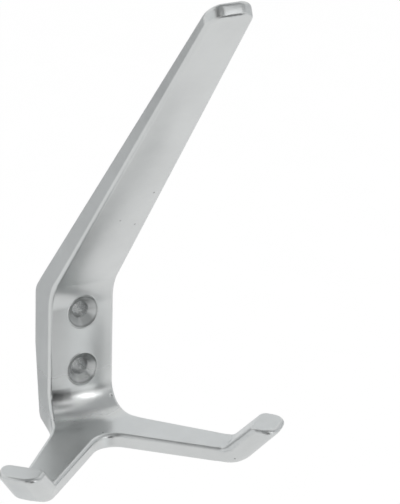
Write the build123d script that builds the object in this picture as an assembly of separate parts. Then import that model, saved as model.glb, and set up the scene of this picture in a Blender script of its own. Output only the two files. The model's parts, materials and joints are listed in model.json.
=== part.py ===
from build123d import *
import os
from math import atan2, cos, degrees, hypot, radians, sin, tan

# A wall-fixed coat hook, one casting in satin aluminium, mirrored about X = 0.
# Y = 0 is the wall and the hook stands out towards -Y. Z is up.
# The origin is on the wall face, midway between the two screw holes.

# upright that lies on the wall, its front face slightly crowned
BASE_WIDTH = 21.0
BASE_DEPTH = 11.6           # at the top of the crown
CROWN_RADIUS = 52.0
FOOT_BACK_HALF = 8.8        # half width of the wall face at its foot
FOOT_FRONT_HALF = 10.8      # half width of the front face at its foot
FOOT_TOP = -3.0             # height where the upright begins to change width
HEEL_RADIUS = 2.5           # lower edge of the wall face, in side view

# countersunk screw holes, one above the other
HOLE_SPACING = 18.3
BORE_RADIUS = 2.6
MOUTH_RADIUS = 4.9
MOUTH_ANGLE = 90.0

# long arm that leans out from the wall
LEAN = 40.0
ARM_BEND_Z = 14.9           # where the line of its back meets the wall
ARM_LENGTH = 153.4
ARM_DEPTH_ROOT = 8.6
ARM_DEPTH_END = 3.9
ARM_WIDTH_END = 13.8
ARM_END_ROUND = 4.7
NOSE_SLOPE = 28.0           # end of the arm, away from square to its back
TAPER_START = 6.3           # above ARM_BEND_Z, in the plane of the arm's outline
BEND_BACK_RADIUS = 5.0
BEND_FRONT_RADIUS = 14.0

# fork of two level arms
PLATE_TOP = -23.8
PLATE_DEPTH = 4.6
FORK_ANGLE = 44.0           # each level arm, away from the way the hook faces
FORK_HUB = -15.0            # Y where the two arm centre lines cross
FORK_REACH = 44.3           # hub to the inner corner of the tip
FORK_WIDTH_ROOT = 14.2
FORK_ROOT_AT = 10.2         # distance from the hub at which the root width is measured
FORK_WIDTH_BEND = 10.8
CROTCH_RADIUS = 7.0
SEAT_RADIUS = 9.0           # hollow between upright and fork

# upturned tips that swell towards level pads
TIP_START = 2.3             # level stretch before the inner corner
TIP_RISE = 7.8              # pads above the level arms
TIP_SLOPE = 45.0            # upper side of the tip
TIP_UNDER_SLOPE = 46.0      # under side of the tip
TIP_HEEL = 4.35             # how much further out the under side starts to rise
TIP_INNER_RADIUS = 2.5
TIP_OUTER_RADIUS = 8.0
BEND_SWELL = 0.95           # share of the swelling reached at the end of the bend
TIP_WIDTH = 13.0
TIP_SKEW = 0.128            # sideways drift of the tip for each mm of reach
TIP_CROWN = 0.9             # bulge of the under side across its width
TIP_UPPER_ROUND = 2.6
TIP_UNDER_ROUND = 4.4
PAD_RIM = 1.1

# roundings of the casting's long edges
EDGE_FRONT = 1.2
EDGE_BACK = 1.0

FLOOR = PLATE_TOP - PLATE_DEPTH
HALF = BASE_WIDTH / 2
CROWN_AXIS = CROWN_RADIUS - BASE_DEPTH
TIP_FROM = FORK_REACH - TIP_START
PAD_HEIGHT = PLATE_TOP + TIP_RISE
PAD_SPARE = 1.5             # how far the tips run on above their pads before they are cut
SPARE = 3.0                 # how far cutting shapes run past what they cut
BEYOND = 500.0


def along(point, direction, distance):
    return (point[0] + direction[0] * distance, point[1] + direction[1] * distance)


def arm_lines():
    # back and front line of the long arm in side view, as (y, z)
    lean = radians(LEAN)
    up_arm = (-sin(lean), cos(lean))
    out_arm = (-cos(lean), -sin(lean))
    back_root = (0.0, ARM_BEND_Z)
    back_end = along(back_root, up_arm, ARM_LENGTH)
    front_root = along(back_root, out_arm, ARM_DEPTH_ROOT)
    front_end = along(back_end, out_arm, ARM_DEPTH_END)
    return back_root, back_end, front_root, front_end


def rounded(sketch, spot, radius):
    corner = sketch.vertices().sort_by_distance(Vector(spot[0], spot[1], 0))[0]
    return fillet(corner, radius)


def back_slab():
    # everything in front of the wall face and of the back of the long arm
    back_root, back_end, front_root, front_end = arm_lines()
    out_arm = (front_end[0] - back_end[0], front_end[1] - back_end[1])
    up_arm = (back_end[0] - back_root[0], back_end[1] - back_root[1])
    past_end = along(back_end, up_arm, SPARE / ARM_LENGTH)
    beyond = along(past_end, out_arm, SPARE)
    far = beyond[0] - SPARE
    outline = make_face(Polyline(
        back_root, past_end, beyond, (far, FLOOR), (0.0, FLOOR), back_root,
    ))
    outline = rounded(outline, back_root, BEND_BACK_RADIUS)
    outline = rounded(outline, (0.0, FLOOR), HEEL_RADIUS)
    plane = Plane(origin=(0, 0, 0), x_dir=(0, 1, 0), z_dir=(1, 0, 0))
    return extrude(plane * outline, BEYOND, both=True)


def crown_y(x):
    return CROWN_AXIS - (CROWN_RADIUS ** 2 - x ** 2) ** 0.5


def crown_section():
    # plan section with the crowned front, a little wider and deeper than the hook
    side = HALF + SPARE
    edge = crown_y(side)
    front = ThreePointArc((-side, edge), (0, -BASE_DEPTH), (side, edge))
    rest = Polyline((side, edge), (side, SPARE), (-side, SPARE), (-side, edge))
    return make_face(front + rest)


def crowned_bar():
    # upright, bend and long arm with the crowned front, without their back
    back_root, back_end, front_root, front_end = arm_lines()
    rise = front_end[1] - front_root[1]
    run = front_end[0] - front_root[0]
    turn = atan2(-run, rise)
    share = (-BASE_DEPTH - front_root[0]) / run
    corner_z = front_root[1] + share * rise
    start_z = corner_z - BEND_FRONT_RADIUS * tan(turn / 2)
    upright = extrude(crown_section(), start_z) + extrude(crown_section(), FLOOR)
    axis = Axis((0, -BASE_DEPTH - BEND_FRONT_RADIUS, start_z), (1, 0, 0))
    section = Pos(0, 0, start_z) * crown_section()
    bend = revolve(section, axis, degrees(turn))
    end = section.rotate(axis, degrees(turn))
    arm = extrude(end, ARM_LENGTH + BASE_DEPTH, dir=(0, -sin(turn), cos(turn)))
    return upright + bend + arm


def front_prism():
    # outline of the straight upright and the tapering arm, as seen along the arm's end face
    slope = radians(NOSE_SLOPE)
    look = radians(LEAN) + slope
    plane = Plane(
        origin=(0, 0, ARM_BEND_Z),
        x_dir=(1, 0, 0),
        z_dir=(0, -cos(look), -sin(look)),
    )
    half_end = ARM_WIDTH_END / 2
    top = ARM_LENGTH * cos(slope)
    below = FLOOR - ARM_BEND_Z - BASE_DEPTH
    shape = make_face(Polyline(
        (-HALF, below), (HALF, below), (HALF, TAPER_START), (half_end, top),
        (-half_end, top), (-HALF, TAPER_START), (-HALF, below),
    ))
    ends = shape.vertices().sort_by(Axis.Y)[-2:]
    shape = fillet(ends, ARM_END_ROUND)
    return extrude(plane * shape, BEYOND, both=True)


def fork_half_width(reach):
    slope = (FORK_WIDTH_BEND - FORK_WIDTH_ROOT) / 2 / (FORK_REACH - FORK_ROOT_AT)
    return FORK_WIDTH_ROOT / 2 + slope * (reach - FORK_ROOT_AT)


def fork_edge(reach, side):
    # a point on one edge of the right arm, side = 1 for the edge next to the wall
    angle = radians(FORK_ANGLE)
    centre = (sin(angle) * reach, FORK_HUB - cos(angle) * reach)
    return along(centre, (cos(angle), sin(angle)), side * fork_half_width(reach))


def crotch_corner():
    # where the inner edges of the two arms cross on the middle plane
    near = fork_edge(FORK_ROOT_AT, -1)
    tip = fork_edge(TIP_FROM, -1)
    share = -near[0] / (tip[0] - near[0])
    return (0, near[1] + share * (tip[1] - near[1]))


def flare(start, heading):
    # arc that leaves the foot at the given heading and meets the arm tangentially
    near = fork_edge(FORK_ROOT_AT, 1)
    tip = fork_edge(TIP_FROM, 1)
    toward = atan2(tip[0] - near[0], near[1] - tip[1])
    gap = (start[0] - near[0]) * cos(toward) + (start[1] - near[1]) * sin(toward)
    radius = gap / (1 - cos(toward - heading))
    centre = (start[0] + radius * cos(heading), start[1] + radius * sin(heading))
    middle = (heading + toward) / 2
    on_arc = along(centre, (cos(middle), sin(middle)), -radius)
    meet = along(centre, (cos(toward), sin(toward)), -radius)
    return on_arc, meet


def fork_outline(back_half, front_half):
    # plan of foot and fork
    start = (front_half, crown_y(front_half))
    heading = atan2(front_half - back_half, -start[1])
    on_arc, meet = flare(start, heading)
    crotch = crotch_corner()
    outline = Polyline((-front_half, start[1]), (-back_half, 0), (back_half, 0), start)
    for side in (1, -1):
        arc = [(side * point[0], point[1]) for point in (start, on_arc, meet)]
        arm = (meet, fork_edge(TIP_FROM, 1), fork_edge(TIP_FROM, -1), crotch)
        outline += ThreePointArc(*arc)
        outline += Polyline(*[(side * point[0], point[1]) for point in arm])
    return rounded(make_face(outline), crotch, CROTCH_RADIUS)


def seat():
    # rounded hollow between the crowned front of the upright and the top of the fork
    far = CROWN_RADIUS + SEAT_RADIUS
    top = PLATE_TOP + SEAT_RADIUS
    half_way = radians(45)
    middle = (far - SEAT_RADIUS * cos(half_way), top - SEAT_RADIUS * sin(half_way))
    curve = ThreePointArc((CROWN_RADIUS, top), middle, (far, PLATE_TOP))
    inside = CROWN_RADIUS - SPARE
    below = PLATE_TOP - PLATE_DEPTH / 2
    rest = Polyline(
        (far, PLATE_TOP), (far, below), (inside, below), (inside, top), (CROWN_RADIUS, top),
    )
    plane = Plane(origin=(0, CROWN_AXIS, 0), x_dir=(0, -1, 0), z_dir=(-1, 0, 0))
    shape = plane * make_face(curve + rest)
    axis = Axis((0, CROWN_AXIS, 0), (0, 0, 1))
    sweep = degrees(atan2(3 * HALF, CROWN_RADIUS))
    return revolve(shape.rotate(axis, -sweep), axis, 2 * sweep)


def casting():
    # the whole hook without its tips, with sharp edges
    plate = Pos(0, 0, (PLATE_TOP + FLOOR) / 2) * Box(BEYOND, BEYOND, PLATE_DEPTH)
    stock = (crowned_bar() + seat() + plate) & back_slab()
    low = Pos(0, 0, FLOOR) * fork_outline(FOOT_BACK_HALF, FOOT_FRONT_HALF)
    high = Pos(0, 0, FOOT_TOP) * fork_outline(HALF, HALF)
    lower = loft([low, high], ruled=True)
    above = Pos(0, 0, BEYOND / 2 + FOOT_TOP) * Box(BEYOND, BEYOND, BEYOND)
    upper = front_prism() & above
    return ((stock & lower) + (stock & upper)).solid()


def tip_section(inner, outer, share):
    # cross-section of the right tip through two points given as (reach, height),
    # share = how far it has changed from the level arm's section to the swollen one
    angle = radians(FORK_ANGLE)
    across = Vector(cos(angle), sin(angle), 0)
    outward = Vector(sin(angle), -cos(angle), 0)
    drift = across * (TIP_SKEW * (inner[0] - TIP_FROM))
    start = Vector(0, FORK_HUB, inner[1]) + outward * inner[0] + drift
    finish = Vector(0, FORK_HUB, outer[1]) + outward * outer[0] + drift
    level = fork_half_width(TIP_FROM)
    half = level + (TIP_WIDTH / 2 - level) * share
    upper_round = EDGE_FRONT + (TIP_UPPER_ROUND - EDGE_FRONT) * share
    under_round = EDGE_BACK + (TIP_UNDER_ROUND - EDGE_BACK) * share
    depth = (finish - start).length
    under = ThreePointArc((half, depth), (0, depth + TIP_CROWN * share), (-half, depth))
    upper = Polyline((-half, depth), (-half, 0), (half, 0), (half, depth))
    shape = make_face(under + upper)
    shape = fillet(shape.vertices().sort_by(Axis.Y)[:2], upper_round)
    shape = fillet(shape.vertices().sort_by(Axis.Y)[-2:], under_round)
    down = (finish - start).normalized()
    return Plane(origin=start, x_dir=across, z_dir=across.cross(down)) * shape


def right_arm_end(body):
    angle = radians(FORK_ANGLE)
    middle = (sin(angle) * TIP_FROM, FORK_HUB - cos(angle) * TIP_FROM, FLOOR + PLATE_DEPTH / 2)
    return body.faces().sort_by_distance(middle)[0]


def tip_line(start_reach, height, slope, radius, share):
    # a point (reach, height) on a level line that bends upwards with the given radius,
    # share = 0 where the bend starts, 1 where it ends, 2 a little above the pad
    turn = radians(slope)
    bend_start = start_reach - radius * tan(turn / 2)
    angle = turn * min(share, 1)
    point = (bend_start + radius * sin(angle), height + radius * (1 - cos(angle)))
    rise = max(share - 1, 0) * (PAD_HEIGHT + PAD_SPARE - point[1])
    return along(point, (1 / tan(turn), 1), rise)


def tip_station(share, swell):
    inner = tip_line(FORK_REACH, PLATE_TOP, TIP_SLOPE, TIP_INNER_RADIUS, share)
    outer = tip_line(FORK_REACH + TIP_HEEL, FLOOR, TIP_UNDER_SLOPE, TIP_OUTER_RADIUS, share)
    return tip_section(inner, outer, swell)


def right_tip(body):
    # a bar bent upwards that swells in the bend, cut level by the pad
    steps = 4
    stations = []
    for step in range(steps + 1):
        swell = BEND_SWELL * (step + 1) / (steps + 1)
        stations.append(tip_station(step / steps, swell))
    bend = loft([right_arm_end(body)] + stations)
    rise = loft([stations[-1], tip_station(2, 1)], ruled=True)
    above = Pos(0, 0, PAD_HEIGHT + BEYOND / 2) * Box(BEYOND, BEYOND, BEYOND)
    tip = bend + rise - above
    pad = tip.faces().sort_by(Axis.Z)[-1]
    return fillet(pad.edges(), PAD_RIM)


def sharp_edges(solid, least):
    # every edge where the surface turns by more than a given number of degrees
    meeting = {}
    for face in solid.faces():
        for edge in face.edges():
            middle = edge.position_at(0.5)
            key = (round(middle.X, 3), round(middle.Y, 3), round(middle.Z, 3))
            meeting.setdefault(key, []).append((edge, face))
    sharp = ShapeList()
    for pairs in meeting.values():
        if len(pairs) != 2:
            continue
        middle = pairs[0][0].position_at(0.5)
        turn = pairs[0][1].normal_at(middle).get_angle(pairs[1][1].normal_at(middle))
        if turn > least:
            sharp.append(pairs[0][0])
    return sharp


def at_fork_end(point):
    # on the two flat ends that the tips join
    angle = radians(FORK_ANGLE)
    reach = abs(point.X) * sin(angle) + (FORK_HUB - point.Y) * cos(angle)
    return reach > TIP_FROM - 0.05 and point.Z < PLATE_TOP + 1


def on_back(point):
    # around the wall face, the underside and the back of the long arm
    lean = radians(LEAN)
    from_arm_back = -point.Y * cos(lean) - (point.Z - ARM_BEND_Z) * sin(lean)
    on_heel = hypot(point.Y, point.Z - FLOOR) < HEEL_RADIUS
    on_floor = point.Z < FLOOR + 0.2
    return on_floor or on_heel or point.Y > -0.5 or from_arm_back < 0.6


def edges_to_round(solid, back):
    edges = ShapeList()
    for edge in sharp_edges(solid, 20):
        middle = edge.position_at(0.5)
        if not at_fork_end(middle) and on_back(middle) == back:
            edges.append(edge)
    return edges


def screw_hole(height):
    half_angle = radians(MOUTH_ANGLE / 2)
    sink = (MOUTH_RADIUS - BORE_RADIUS) / tan(half_angle)
    outside = -BASE_DEPTH - SPARE / tan(half_angle)
    profile = make_face(Polyline(
        (0, SPARE), (BORE_RADIUS, SPARE), (BORE_RADIUS, sink - BASE_DEPTH),
        (MOUTH_RADIUS + SPARE, outside), (0, outside), (0, SPARE),
    ))
    return Pos(0, 0, height) * revolve(profile, Axis.Y, 360)


def hook_body():
    body = casting()
    body = fillet(edges_to_round(body, False), EDGE_FRONT).solid()
    body = fillet(edges_to_round(body, True), EDGE_BACK).solid()
    tip = right_tip(body)
    body = body + tip + mirror(tip, Plane.YZ)
    for height in (HOLE_SPACING / 2, -HOLE_SPACING / 2):
        body -= screw_hole(height)
    return body.solid()


def main():
    os.makedirs("parts", exist_ok=True)
    hook = hook_body()
    print("hook_body", hook.volume, hook.is_valid)
    export_step(hook, "parts/hook_body.step")


main()
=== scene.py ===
import json
from math import cos, degrees, radians, sin, tan, tau

import bpy
from mathutils import Matrix, Quaternion, Vector


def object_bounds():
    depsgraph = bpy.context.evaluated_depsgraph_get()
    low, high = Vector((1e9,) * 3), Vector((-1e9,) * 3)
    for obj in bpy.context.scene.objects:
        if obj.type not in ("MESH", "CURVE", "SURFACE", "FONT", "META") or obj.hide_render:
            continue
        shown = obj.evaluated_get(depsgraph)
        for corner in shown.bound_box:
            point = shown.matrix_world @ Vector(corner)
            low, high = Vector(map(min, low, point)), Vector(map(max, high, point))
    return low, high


bl_info = {
    "name": "Satin Aluminium Coat Hook",
    "version": (1, 0, 0),
    "blender": (4, 5, 0),
    "location": "View3D > Sidebar > Coat Hook",
    "description": "Finish, studio and camera for a cast double coat hook",
    "category": "Object",
}

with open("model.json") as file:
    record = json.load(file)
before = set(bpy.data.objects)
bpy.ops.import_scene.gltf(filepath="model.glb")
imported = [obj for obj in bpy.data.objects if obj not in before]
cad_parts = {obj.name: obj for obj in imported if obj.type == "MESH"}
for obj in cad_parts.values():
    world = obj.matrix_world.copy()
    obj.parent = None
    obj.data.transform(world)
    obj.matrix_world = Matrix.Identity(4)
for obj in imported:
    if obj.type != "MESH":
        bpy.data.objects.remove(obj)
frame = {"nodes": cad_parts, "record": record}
CAD_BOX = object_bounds()

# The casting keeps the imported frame: metres, wall at Y = 0, hook towards -Y, Z up.
CASTING = "hook_body"
MM = 0.001

# the two screw holes: spacing and bore from the record's own mount
SCREW_MOUNT = next(m for m in frame["record"]["mounts"] if m["name"] == "wall_screws")
HOLE_HEIGHT = SCREW_MOUNT["dims"]["spacing_y_mm"] / 2 * MM
BORE_RADIUS = SCREW_MOUNT["dims"]["hole_r_mm"] * MM
MOUTH_RADIUS = 4.9 * MM     # of a countersink
FACE_DEPTH = 11.6 * MM      # from the wall to the crown of the upright

# middle of the small flat on the end of the long arm
NOSE_HEIGHT = CAD_BOX[1].z - 1.6 * MM
NOSE_REACH = -CAD_BOX[0].y - 0.5 * MM

# the smooth hollow above the fork
SEAT_HEIGHT = -17 * MM
SEAT_SMOOTH = 3 * MM            # fully smooth this far above and below
SEAT_END = 9 * MM
SEAT_FADE_START = -20 * MM      # along Y, where the fork leaves the hollow
SEAT_FADE_END = -24 * MM

# the linished face against the wall, along Y: full to the first, none past the second
WALL_FACE_FULL = -0.1 * MM
WALL_FACE_END = -0.3 * MM

# heights of the relief that the skin's bumps stand for
RING_DEPTH = 0.01 * MM
CHATTER_DEPTH = 0.09 * MM
RIM_DEPTH = 0.12 * MM
SCRATCH_DEPTH = 0.012 * MM

# the part of a noise's range in which clouds and fibres go from one tone to the other
NOISE_LOW = 0.3
NOISE_HIGH = 0.7


class HookFinish(bpy.types.PropertyGroup):
    metal_colour: bpy.props.FloatVectorProperty(
        name="Metal colour", description="Colour of the bead-blasted aluminium skin",
        subtype="COLOR", size=4, min=0, max=1, default=(0.695, 0.711, 0.709, 1),
    )
    satin: bpy.props.FloatProperty(
        name="Satin roughness", description="Roughness of the cast and blasted skin",
        subtype="FACTOR", min=0, max=1, default=0.285,
    )
    seat_polish: bpy.props.FloatProperty(
        name="Seat polish", description="How much smoother the hollow above the fork is",
        subtype="FACTOR", min=0, max=0.2, default=0.055,
    )
    grain_size: bpy.props.FloatProperty(
        name="Grain size", description="Width of one grain of the blasted skin",
        subtype="DISTANCE", unit="LENGTH", min=0.0001, max=0.005, default=0.0006,
    )
    grain_depth: bpy.props.FloatProperty(
        name="Grain depth", description="Height of the grain above the valleys between",
        subtype="DISTANCE", unit="LENGTH", min=0, max=0.0005, default=0.000006,
    )
    turning_pitch: bpy.props.FloatProperty(
        name="Turning pitch", description="Distance between the cutter's rings in the countersinks",
        subtype="DISTANCE", unit="LENGTH", min=0.00005, max=0.002, default=0.00022,
    )


class HookCamera(bpy.types.PropertyGroup):
    turn: bpy.props.FloatProperty(
        name="Turn", description="How far the camera stands to the hook's left",
        subtype="ANGLE", unit="ROTATION", default=radians(27.86),
    )
    height: bpy.props.FloatProperty(
        name="Height", description="How far the camera looks down",
        subtype="ANGLE", unit="ROTATION", default=radians(22.61),
    )
    roll: bpy.props.FloatProperty(
        name="Roll", description="Turn of the picture about the line of sight",
        subtype="ANGLE", unit="ROTATION", default=radians(1.44),
    )
    distance: bpy.props.FloatProperty(
        name="Distance", description="From the camera to the plane of the screw holes",
        subtype="DISTANCE", unit="LENGTH", min=0.1, default=1.0,
    )
    aim_right: bpy.props.FloatProperty(
        name="Aim right", description="How far the picture's centre lies right of the origin",
        subtype="DISTANCE", unit="LENGTH", default=0.03991,
    )
    aim_up: bpy.props.FloatProperty(
        name="Aim up", description="How far the picture's centre lies above the origin",
        subtype="DISTANCE", unit="LENGTH", default=0.02207,
    )
    focal_length: bpy.props.FloatProperty(
        name="Focal length", description="Lens, on a picture whose long side is 36 mm",
        subtype="DISTANCE_CAMERA", min=1, default=239.3,
    )


class HookStudio(bpy.types.PropertyGroup):
    floor_drop: bpy.props.FloatProperty(
        name="Floor drop", description="Height of the hook above the studio floor",
        subtype="DISTANCE", unit="LENGTH", min=0, default=0.16,
    )
    floor_colour: bpy.props.FloatVectorProperty(
        name="Floor colour", description="Paper on the studio floor",
        subtype="COLOR", size=4, min=0, max=1, default=(0.96, 0.96, 0.96, 1),
    )
    room_level: bpy.props.FloatProperty(
        name="Room level", description="Light that the white room gives to matt things",
        min=0, max=2, default=0.9,
    )
    key_power: bpy.props.FloatProperty(
        name="Key lamp", description="Power of the small soft box beside the dark card",
        subtype="POWER", unit="POWER", min=0, default=0.75,
    )
    top_power: bpy.props.FloatProperty(
        name="Top lamp", description="Power of the wide lamp above, which lights the floor",
        subtype="POWER", unit="POWER", min=0, default=3.0,
    )
    mirrored_level: bpy.props.FloatProperty(
        name="Mirrored level", description="White of the background as the metal mirrors it",
        subtype="FACTOR", min=0, max=1, default=0.89,
    )
    card_feather: bpy.props.FloatProperty(
        name="Card feather", description="Share of a card's width over which its edge fades out",
        subtype="FACTOR", min=0.01, max=0.5, default=0.12,
    )


# Cards that the metal mirrors: azimuth and elevation of the middle, width and height as
# seen from the hook, all in degrees, distance in metres, and how light the card is.
CARDS = {
    "dark_flag": (2.5, -8, 31, 42, 0.50, 0.02),
    "pool_flag": (-1, 27, 13, 30, 0.52, 0.05),
    "nose_flag": (-31, 24, 22, 46, 0.57, 0.03),
    "nose_card": (12.3, 32.4, 22, 16, 0.150, 0.95),
    "nose_shade": (15.5, 26, 15, 23, 0.1085, 0.06),
    "bounce_card": (30, -37, 24, 24, 0.296, 0.95),
    "front_left_flag": (-38, 46, 46, 34, 0.50, 0.32),
    "front_right_flag": (56, 34, 38, 58, 1.60, 0.49),
    "left_flag": (-90, 14, 66, 34, 0.60, 0.78),
    "back_left_flag": (-155, -11, 44, 56, 0.46, 0.58),
    "upper_flank_flag": (-147, -4, 26, 16, 0.263, 0.40),
    "foot_flag": (-168.4, -37, 15.4, 13.4, 0.281, 0.50),
    "tip_flag": (-159, -67, 19, 19, 0.252, 0.76),
    "back_flag": (158, 6, 40, 66, 0.60, 0.80),
    "right_flag": (93, 0, 68, 54, 0.50, 0.70),
    "top_flag": (90, 90, 54, 54, 0.50, 0.29),
}

# Soft boxes: azimuth, elevation and roll in degrees, then distance, width and height in
# metres.
SOFT_BOXES = {
    "key_lamp": (27, 10, 50, 1.50, 0.46, 0.22),
    "top_lamp": (100, 70, 0, 1.20, 0.90, 0.90),
}


class Wiring:
    """Adds nodes to one tree and joins them, so that a material reads from top to bottom."""

    def __init__(self, tree):
        self.tree = tree

    def add(self, kind, settings=None, inputs=None):
        node = self.tree.nodes.new(kind)
        for key, value in (settings or {}).items():
            setattr(node, key, value)
        for key, value in (inputs or {}).items():
            if isinstance(value, bpy.types.NodeSocket):
                self.tree.links.new(value, node.inputs[key])
            else:
                node.inputs[key].default_value = value
        return node

    def maths(self, operation, first, second=0.0, clamp=False):
        settings = {"operation": operation, "use_clamp": clamp}
        return self.add("ShaderNodeMath", settings, {0: first, 1: second}).outputs[0]

    def ramp(self, value, low, high, to_low=0.0, to_high=1.0, smooth=True):
        kind = "SMOOTHSTEP" if smooth else "LINEAR"
        node = self.add(
            "ShaderNodeMapRange", {"interpolation_type": kind},
            {"Value": value, "From Min": low, "From Max": high, "To Min": to_low, "To Max": to_high},
        )
        return node.outputs[0]

    def noise(self, vector, size, detail=3.0, roughness=0.55):
        node = self.add(
            "ShaderNodeTexNoise", None,
            {"Vector": vector, "Scale": 1 / size, "Detail": detail, "Roughness": roughness},
        )
        return node.outputs["Fac"]

    def mix(self, factor, first, second):
        node = self.add("ShaderNodeMix", {"data_type": "RGBA"}, {0: factor, 6: first, 7: second})
        return node.outputs[2]

    def bump(self, height, depth, below=None):
        """Relief of the given depth on top of the relief below it."""
        inputs = {"Strength": 1.0, "Distance": depth, "Height": height}
        if below is not None:
            inputs["Normal"] = below
        return self.add("ShaderNodeBump", None, inputs).outputs[0]

    def put_out(self, target, results):
        for label, value in results.items():
            self.tree.links.new(value, target.inputs[label])


def new_group(name, inputs, outputs):
    tree = bpy.data.node_groups.new(name, "ShaderNodeTree")
    for label, kind, default in inputs:
        socket = tree.interface.new_socket(label, in_out="INPUT", socket_type=kind)
        if default is not None:
            socket.default_value = default
    for label in outputs:
        tree.interface.new_socket(label, in_out="OUTPUT", socket_type="NodeSocketFloat")
    wiring = Wiring(tree)
    source = wiring.add("NodeGroupInput")
    target = wiring.add("NodeGroupOutput")
    return tree, wiring, source, target


def new_material(name):
    """An empty material, its wiring and its Object coordinates."""
    material = bpy.data.materials.new(name)
    material.use_nodes = True
    material.node_tree.nodes.clear()
    wiring = Wiring(material.node_tree)
    return material, wiring, wiring.add("ShaderNodeTexCoord").outputs["Object"]


def tinted(colour, share):
    """The colour made darker or lighter, and no more than white."""
    return tuple(min(1, share * part) for part in colour[:3]) + (1,)


def blasted_skin_group():
    """Fine grain on low waves, soft clouds and rare pits of a bead-blasted casting."""
    wave_size = 7 * MM
    wave_height = 3.0       # in grains, as the pits' depth is
    pit_depth = 6.0
    cloud_size = 16 * MM
    pit_spacing = 6.1 * MM
    pit_floor = 0.02        # radii in spacings, from where the floor is flat to the rim
    pit_rim = 0.075
    pit_share = 0.2         # of the places that could have one
    tree, w, source, target = new_group(
        "Blasted skin",
        (("Vector", "NodeSocketVector", None), ("Grain size", "NodeSocketFloat", 0.0006)),
        ("Height", "Clouds", "Pits"),
    )
    place = source.outputs["Vector"]
    scale = w.maths("DIVIDE", 1.0, source.outputs["Grain size"])
    grain = w.add(
        "ShaderNodeTexNoise", None,
        {"Vector": place, "Scale": scale, "Detail": 3.0, "Roughness": 0.6},
    )
    waves = w.noise(place, wave_size, 2.0)
    clouds = w.noise(place, cloud_size, 3.0, 0.6)
    cells = w.add(
        "ShaderNodeTexVoronoi", {"feature": "F1"},
        {"Vector": place, "Scale": 1 / pit_spacing, "Randomness": 1.0},
    )
    pits = w.ramp(cells.outputs["Distance"], pit_floor, pit_rim, 1.0, 0.0)
    lot = w.add("ShaderNodeSeparateColor", None, {"Color": cells.outputs["Color"]}).outputs[0]
    pits = w.maths("MULTIPLY", pits, w.maths("GREATER_THAN", lot, 1 - pit_share))
    height = w.maths("ADD", grain.outputs["Fac"], w.maths("MULTIPLY", waves, wave_height))
    height = w.maths("SUBTRACT", height, w.maths("MULTIPLY", pits, pit_depth))
    w.put_out(target, {"Height": height, "Clouds": clouds, "Pits": pits})
    return tree


def countersink_group():
    """Cutter's rings, raised rim, painted shade on the lip and rough bore of the two screw holes."""
    cone_play = 0.03 * MM       # what still counts as on the cone
    wobble_size = 2.5 * MM
    wobble = 0.8                # in rings
    cutting_edges = 5.0
    first_edge = 0.6            # in radians
    rim_crest = 0.22 * MM       # from the mouth to the crest and to the foot outside it
    rim_foot = 0.5 * MM
    rim_reach = 0.7 * MM        # past the mouth there is no rim at all
    lip_shade_full = 0.2 * MM         # from the mouth down to where the painted shade on the lip stays full, and where it ends
    lip_shade_end = 0.7 * MM
    bore_edge = 0.15 * MM
    speckle_size = 0.5 * MM
    speckle_low = 0.42
    speckle_high = 0.6
    tree, w, source, target = new_group(
        "Countersink",
        (
            ("Vector", "NodeSocketVector", None),
            ("Pitch", "NodeSocketFloat", 0.0002),
            ("Hole height", "NodeSocketFloat", HOLE_HEIGHT),
            ("Mouth radius", "NodeSocketFloat", MOUTH_RADIUS),
            ("Bore radius", "NodeSocketFloat", BORE_RADIUS),
            ("Face depth", "NodeSocketFloat", FACE_DEPTH),
        ),
        ("Rings", "Chatter", "Rim", "Painted lip shade", "Speckle"),
    )
    vector = source.outputs["Vector"]
    mouth = source.outputs["Mouth radius"]
    place = w.add("ShaderNodeSeparateXYZ", None, {"Vector": vector})
    up = w.maths("ABSOLUTE", place.outputs["Z"])
    up = w.maths("SUBTRACT", up, source.outputs["Hole height"])
    flat = w.add("ShaderNodeCombineXYZ", None, {"X": place.outputs["X"], "Z": up})
    radius = w.add("ShaderNodeVectorMath", {"operation": "LENGTH"}, {0: flat.outputs[0]}).outputs["Value"]

    # nought on the 90 degree cone, and growing away from its mouth on the face outside
    cone = w.maths("ADD", radius, place.outputs["Y"])
    beyond = w.maths("SUBTRACT", w.maths("ADD", cone, source.outputs["Face depth"]), mouth)
    on_cone = w.maths("LESS_THAN", beyond, cone_play)
    in_sink = w.maths("MULTIPLY", on_cone, w.maths("LESS_THAN", radius, mouth))

    shake = w.maths("MULTIPLY", w.noise(vector, wobble_size, 1.0), wobble)
    turns = w.maths("DIVIDE", w.maths("SUBTRACT", radius, place.outputs["Y"]), source.outputs["Pitch"])
    rings = w.maths("SINE", w.maths("MULTIPLY", w.maths("ADD", turns, shake), tau))
    rings = w.maths("MULTIPLY", rings, in_sink)

    # the cutting edges leave a slow wave around the cone
    angle = w.maths("ARCTAN2", up, place.outputs["X"])
    chatter = w.maths("SINE", w.maths("ADD", w.maths("MULTIPLY", angle, cutting_edges), first_edge))
    chatter = w.maths("MULTIPLY", chatter, in_sink)

    rise = w.ramp(beyond, 0.0, rim_crest)
    rim = w.maths("MULTIPLY", rise, w.ramp(beyond, rim_crest, rim_foot, 1.0, 0.0))
    near = w.maths("LESS_THAN", radius, w.maths("ADD", mouth, rim_reach))
    rim = w.maths("MULTIPLY", rim, near)
    inside = w.maths("SUBTRACT", mouth, radius)
    # painted shade: the cone is darkened in a band just inside the countersink's mouth
    lip_shade = w.maths("MULTIPLY", in_sink, w.ramp(inside, lip_shade_full, lip_shade_end, 1.0, 0.0))
    outside_bore = w.maths("SUBTRACT", radius, source.outputs["Bore radius"])
    bore = w.ramp(outside_bore, 0.0, bore_edge, 1.0, 0.0)
    grains = w.ramp(w.noise(vector, speckle_size, 2.0, 0.7), speckle_low, speckle_high)
    speckle = w.maths("MULTIPLY", bore, grains)
    w.put_out(target, {"Rings": rings, "Chatter": chatter, "Rim": rim, "Painted lip shade": lip_shade, "Speckle": speckle})
    return tree


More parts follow.
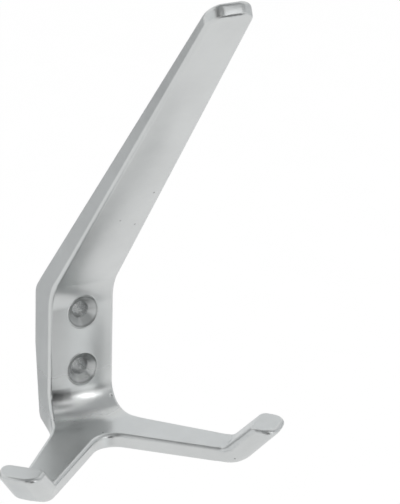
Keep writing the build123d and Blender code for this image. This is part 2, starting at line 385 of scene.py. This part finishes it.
def worn_nose_group():
    """Slight crown, in metres, that polishing leaves on the flat end of the long arm."""
    crown_height = 0.34 * MM
    crown_spread = 1.4 * MM     # along the slope of the flat
    squeeze = 0.4               # across the arm the crown spreads 1 / 0.4 times as far
    slope_up = 0.91             # the flat's own direction, which climbs steeply
    slope_back = 0.41
    tree, w, source, target = new_group(
        "Worn nose",
        (
            ("Vector", "NodeSocketVector", None),
            ("Height", "NodeSocketFloat", NOSE_HEIGHT),
            ("Reach", "NodeSocketFloat", NOSE_REACH),
        ),
        ("Crown",),
    )
    place = w.add("ShaderNodeSeparateXYZ", None, {"Vector": source.outputs["Vector"]})
    above = w.maths("SUBTRACT", place.outputs["Z"], source.outputs["Height"])
    back = w.maths("ADD", place.outputs["Y"], source.outputs["Reach"])
    slope = w.maths("ADD", w.maths("MULTIPLY", above, slope_up), w.maths("MULTIPLY", back, slope_back))
    across = w.maths("MULTIPLY", place.outputs["X"], squeeze)
    square = w.maths("ADD", w.maths("MULTIPLY", slope, slope), w.maths("MULTIPLY", across, across))
    fall = w.maths("MULTIPLY", square, -1 / (2 * crown_spread ** 2))
    crown = w.maths("MULTIPLY", w.maths("EXPONENT", fall), crown_height)
    w.put_out(target, {"Crown": crown})
    return tree


def metal_base(w, colour, skin, sink):
    """Colour of the metal: clouded skin, painted shade in the pits and on the lips, and speckled bores.
    """
    lip_shade_share = 0.8
    speckle_share = 0.7
    darker = tinted(colour, 0.94)
    painted_pit_shade = tinted(colour, 0.55)
    # one dark tone, for the painted shade on the lips and for the bores' grainy speckle
    shade_and_grain_tone = tinted(colour, 0.5)
    base = w.mix(w.ramp(skin.outputs["Clouds"], NOISE_LOW, NOISE_HIGH), darker, colour)
    # painted shade: the pits are darkened
    base = w.mix(skin.outputs["Pits"], base, painted_pit_shade)
    # painted shade on the countersinks' lips
    base = w.mix(w.maths("MULTIPLY", sink.outputs["Painted lip shade"], lip_shade_share), base, shade_and_grain_tone)
    return w.mix(w.maths("MULTIPLY", sink.outputs["Speckle"], speckle_share), base, shade_and_grain_tone)


def metal_roughness(w, finish, skin, axes, wall_face):
    """Satin skin, smoother in the hollow above the fork and rougher in pits and at the wall."""
    cloud_share = 0.03
    pit_share = 0.3
    wall_share = 0.06
    seat_height = w.maths("ABSOLUTE", w.maths("SUBTRACT", axes.outputs["Z"], SEAT_HEIGHT))
    in_seat = w.maths(
        "MULTIPLY", w.ramp(seat_height, SEAT_SMOOTH, SEAT_END, 1.0, 0.0),
        w.ramp(axes.outputs["Y"], SEAT_FADE_END, SEAT_FADE_START),
    )
    roughest = finish.satin + cloud_share
    rough = w.ramp(skin.outputs["Clouds"], NOISE_LOW, NOISE_HIGH, finish.satin, roughest, False)
    rough = w.maths("SUBTRACT", rough, w.maths("MULTIPLY", in_seat, finish.seat_polish))
    rough = w.maths("ADD", rough, w.maths("MULTIPLY", skin.outputs["Pits"], pit_share))
    return w.maths("ADD", rough, w.maths("MULTIPLY", wall_face, wall_share), True)


def metal_relief(w, place, grain_depth, skin, sink, wall_face):
    """Normal of the metal, each relief laid on the one before it."""
    speckle_share = 0.6
    scratch_width = 0.18 * MM
    scratch_stretch = 0.02      # each mark is 1 / 0.02 times as long as it is wide
    nose = w.add("ShaderNodeGroup", {"node_tree": worn_nose_group()}, {"Vector": place})
    brushed = w.add("ShaderNodeMapping", None, {"Vector": place, "Scale": (1, 1, scratch_stretch)})
    scratches = w.noise(brushed.outputs[0], scratch_width, 2.0)
    rough_bore = w.maths("MULTIPLY", sink.outputs["Speckle"], speckle_share)
    layers = (
        (skin.outputs["Height"], grain_depth),
        (sink.outputs["Rings"], RING_DEPTH),
        (sink.outputs["Chatter"], CHATTER_DEPTH),
        (w.maths("ADD", sink.outputs["Rim"], rough_bore), RIM_DEPTH),
        (nose.outputs["Crown"], 1.0),   # this height is in metres already
        (w.maths("MULTIPLY", scratches, wall_face), SCRATCH_DEPTH),
    )
    normal = None
    for height, depth in layers:
        normal = w.bump(height, depth, normal)
    return normal


def satin_aluminium(finish):
    """The whole casting: blasted skin, turned countersinks and a linished wall face."""
    material, w, place = new_material("satin_aluminium")
    skin = w.add("ShaderNodeGroup", {"node_tree": blasted_skin_group()}, {"Vector": place})
    skin.inputs["Grain size"].default_value = finish.grain_size
    sink = w.add("ShaderNodeGroup", {"node_tree": countersink_group()}, {"Vector": place})
    sink.inputs["Pitch"].default_value = finish.turning_pitch
    axes = w.add("ShaderNodeSeparateXYZ", None, {"Vector": place})
    wall_face = w.ramp(axes.outputs["Y"], WALL_FACE_END, WALL_FACE_FULL)
    shader = w.add(
        "ShaderNodeBsdfPrincipled", None,
        {
            "Base Color": metal_base(w, tuple(finish.metal_colour), skin, sink),
            "Metallic": 1.0,
            "Roughness": metal_roughness(w, finish, skin, axes, wall_face),
            "Normal": metal_relief(w, place, finish.grain_depth, skin, sink, wall_face),
        },
    )
    w.add("ShaderNodeOutputMaterial", None, {"Surface": shader.outputs[0]})
    return material


def background_rays(w, mirrored_level):
    """Which rays see the plain white background, and how white it is for them."""
    path = w.add("ShaderNodeLightPath")
    mirrored = w.maths("MULTIPLY", path.outputs["Is Glossy Ray"], mirrored_level)
    level = w.maths("MAXIMUM", path.outputs["Is Camera Ray"], path.outputs["Is Transmission Ray"])
    level = w.maths("MAXIMUM", level, mirrored)
    return w.maths("GREATER_THAN", level, 0.0), level


def paper_floor(studio):
    """White paper that keeps a faint shadow and doesn't block a view from below."""
    fibre_size = 0.03
    fibre_gain = 1.03
    background_share = 0.9      # the rest is the lit paper, with the hook's shadow
    material, w, place = new_material("paper_floor")
    fibre = w.ramp(w.noise(place, fibre_size, 2.0), NOISE_LOW, NOISE_HIGH)
    colour = tuple(studio.floor_colour)
    lighter = tinted(colour, fibre_gain)
    paper = w.add("ShaderNodeBsdfDiffuse", None, {"Color": w.mix(fibre, colour, lighter)})
    seen, level = background_rays(w, studio.mirrored_level)
    glow = w.add("ShaderNodeEmission", None, {"Color": (1, 1, 1, 1), "Strength": level})
    share = w.maths("MULTIPLY", seen, background_share)
    lit = w.add("ShaderNodeMixShader", None, {0: share, 1: paper.outputs[0], 2: glow.outputs[0]})
    clear = w.add("ShaderNodeBsdfTransparent")
    behind = w.add("ShaderNodeNewGeometry").outputs["Backfacing"]
    both = w.add("ShaderNodeMixShader", None, {0: behind, 1: lit.outputs[0], 2: clear.outputs[0]})
    w.add("ShaderNodeOutputMaterial", None, {"Surface": both.outputs[0]})
    return material


def studio_world(studio):
    """White for the camera and for the metal's reflections, a little less for matt things."""
    world = bpy.data.worlds.new("studio_room")
    bpy.context.scene.world = world
    world.use_nodes = True
    world.node_tree.nodes.clear()
    w = Wiring(world.node_tree)
    white = background_rays(w, studio.mirrored_level)[1]
    level = w.maths("MAXIMUM", white, studio.room_level)
    sky = w.add("ShaderNodeBackground", None, {"Color": (1, 1, 1, 1), "Strength": level})
    w.add("ShaderNodeOutputWorld", None, {"Surface": sky.outputs[0]})


def card_paper(name, grey, feather):
    """Cool grey paper whose edges fade out, so that the metal mirrors no hard line."""
    cool = (0.985, 1.0, 1.01)
    fibre_size = 0.05
    fibre_gain = 1.05
    half = 0.5                  # of the card, whose own side is 1
    material, w, place = new_material(name)
    fibre = w.ramp(w.noise(place, fibre_size, 2.0), NOISE_LOW, NOISE_HIGH)
    plain = tuple(grey * part for part in cool) + (1,)
    lighter = tinted(plain, fibre_gain)
    paper = w.add("ShaderNodeBsdfDiffuse", None, {"Color": w.mix(fibre, plain, lighter)})
    across = w.add("ShaderNodeSeparateXYZ", None, {"Vector": place})
    solid = 1.0
    for axis in ("X", "Y"):
        edge = w.maths("ABSOLUTE", across.outputs[axis])
        solid = w.maths("MULTIPLY", w.ramp(edge, half - feather, half, 1.0, 0.0), solid)
    clear = w.add("ShaderNodeBsdfTransparent")
    card = w.add("ShaderNodeMixShader", None, {0: solid, 1: clear.outputs[0], 2: paper.outputs[0]})
    w.add("ShaderNodeOutputMaterial", None, {"Surface": card.outputs[0]})
    return material


def towards(azimuth, elevation):
    """Unit vector from the hook: azimuth 0 is straight out from the wall, positive to the right."""
    turn, rise = radians(azimuth), radians(elevation)
    return Vector((sin(turn) * cos(rise), -cos(turn) * cos(rise), sin(rise)))


def new_plane(name, size, location, rotation, material):
    bpy.ops.object.select_all(action="DESELECT")
    bpy.ops.mesh.primitive_plane_add(size=size, location=location, rotation=rotation)
    plane = bpy.context.object
    plane.name = name
    plane.data.materials.append(material)
    return plane


def mirrored_cards(target, feather):
    """Set the cards round the hook, each with the middle of its faded edge at its width."""
    spread = 2 / (1 - feather)
    for name, (azimuth, elevation, width, height, reach, grey) in CARDS.items():
        way = towards(azimuth, elevation)
        turn = way.to_track_quat("Z", "Y").to_euler()
        card = new_plane(name, 1, target + way * reach, turn, card_paper(name, grey, feather))
        across = spread * reach * tan(radians(width / 2))
        upright = spread * reach * tan(radians(height / 2))
        card.scale = (across, upright, 1)
        card.visible_camera = False
        card.visible_shadow = False
        card.visible_diffuse = False


def soft_box(name, power, target):
    azimuth, elevation, roll, distance, width, height = SOFT_BOXES[name]
    lamp = bpy.data.lights.new(name, "AREA")
    lamp.shape = "RECTANGLE"
    lamp.size = width
    lamp.size_y = height
    lamp.energy = power
    holder = bpy.data.objects.new(name, lamp)
    bpy.context.scene.collection.objects.link(holder)
    way = towards(azimuth, elevation)
    holder.location = target + way * distance
    turn = way.to_track_quat("Z", "Y") @ Quaternion((0, 0, 1), radians(roll))
    holder.rotation_euler = turn.to_euler()
    holder.visible_camera = False
    return holder


def floor_plane(studio):
    floor_side = 8
    height = CAD_BOX[0].z - studio.floor_drop
    new_plane("studio_floor", floor_side, (0, 0, height), (0, 0, 0), paper_floor(studio))


def photo_camera(view):
    picture_side = 36
    nearest, farthest = 0.05, 50
    forward = -towards(-degrees(view.turn), degrees(view.height))
    side = Vector((cos(view.turn), -sin(view.turn), 0))
    above = side.cross(forward)
    right = side * cos(view.roll) + above * sin(view.roll)
    up = above * cos(view.roll) - side * sin(view.roll)
    place = right * view.aim_right + up * view.aim_up - forward * view.distance
    data = bpy.data.cameras.new("photo_camera")
    data.sensor_width = picture_side
    data.lens = view.focal_length
    data.clip_start = nearest
    data.clip_end = farthest
    camera = bpy.data.objects.new("photo_camera", data)
    bpy.context.scene.collection.objects.link(camera)
    turn = Matrix((right, up, -forward)).transposed()
    camera.matrix_world = Matrix.Translation(place) @ turn.to_4x4()
    bpy.context.scene.camera = camera


class HOOK_OT_casting(bpy.types.Operator):
    """Give the casting its satin aluminium skin"""

    bl_idname = "coat_hook.casting"
    bl_label = "Finish the casting"

    def execute(self, context):
        casting = frame["nodes"].get(CASTING)
        if casting is None:
            raise RuntimeError("the frame has no casting named " + CASTING)
        casting.data.materials.clear()
        casting.data.materials.append(satin_aluminium(context.scene.hook_finish))
        return {"FINISHED"}


class HOOK_OT_stage(bpy.types.Operator):
    """Set up the paper floor, the room, the cards, the lamps and the camera"""

    bl_idname = "coat_hook.stage"
    bl_label = "Set the stage"

    def execute(self, context):
        studio = context.scene.hook_studio
        low, high = CAD_BOX
        middle = (low + high) / 2
        floor_plane(studio)
        studio_world(studio)
        mirrored_cards(middle, studio.card_feather)
        soft_box("key_lamp", studio.key_power, middle)
        top_lamp = soft_box("top_lamp", studio.top_power, middle)
        top_lamp.visible_glossy = False
        photo_camera(context.scene.hook_camera)
        context.scene.view_settings.view_transform = "Standard"
        return {"FINISHED"}


class HOOK_PT_panel(bpy.types.Panel):
    """Sizes, colours and steps of the coat hook"""

    bl_label = "Coat Hook"
    bl_idname = "HOOK_PT_panel"
    bl_space_type = "VIEW_3D"
    bl_region_type = "UI"
    bl_category = "Coat Hook"

    def draw(self, context):
        scene = context.scene
        for group in (scene.hook_finish, scene.hook_studio, scene.hook_camera):
            box = self.layout.box()
            for name in group.__annotations__:
                box.prop(group, name)
        for operator in OPERATORS:
            self.layout.operator(operator.bl_idname)


GROUPS = {"hook_finish": HookFinish, "hook_studio": HookStudio, "hook_camera": HookCamera}
OPERATORS = (HOOK_OT_casting, HOOK_OT_stage)


def register():
    for group in GROUPS.values():
        bpy.utils.register_class(group)
    for name, group in GROUPS.items():
        setattr(bpy.types.Scene, name, bpy.props.PointerProperty(type=group))
    for operator in OPERATORS:
        bpy.utils.register_class(operator)
    bpy.utils.register_class(HOOK_PT_panel)


def unregister():
    bpy.utils.unregister_class(HOOK_PT_panel)
    for operator in reversed(OPERATORS):
        bpy.utils.unregister_class(operator)
    for name in GROUPS:
        delattr(bpy.types.Scene, name)
    for group in reversed(GROUPS.values()):
        bpy.utils.unregister_class(group)


def main():
    register()
    bpy.ops.coat_hook.casting()
    bpy.ops.coat_hook.stage()


if __name__ == "__main__":
    main()
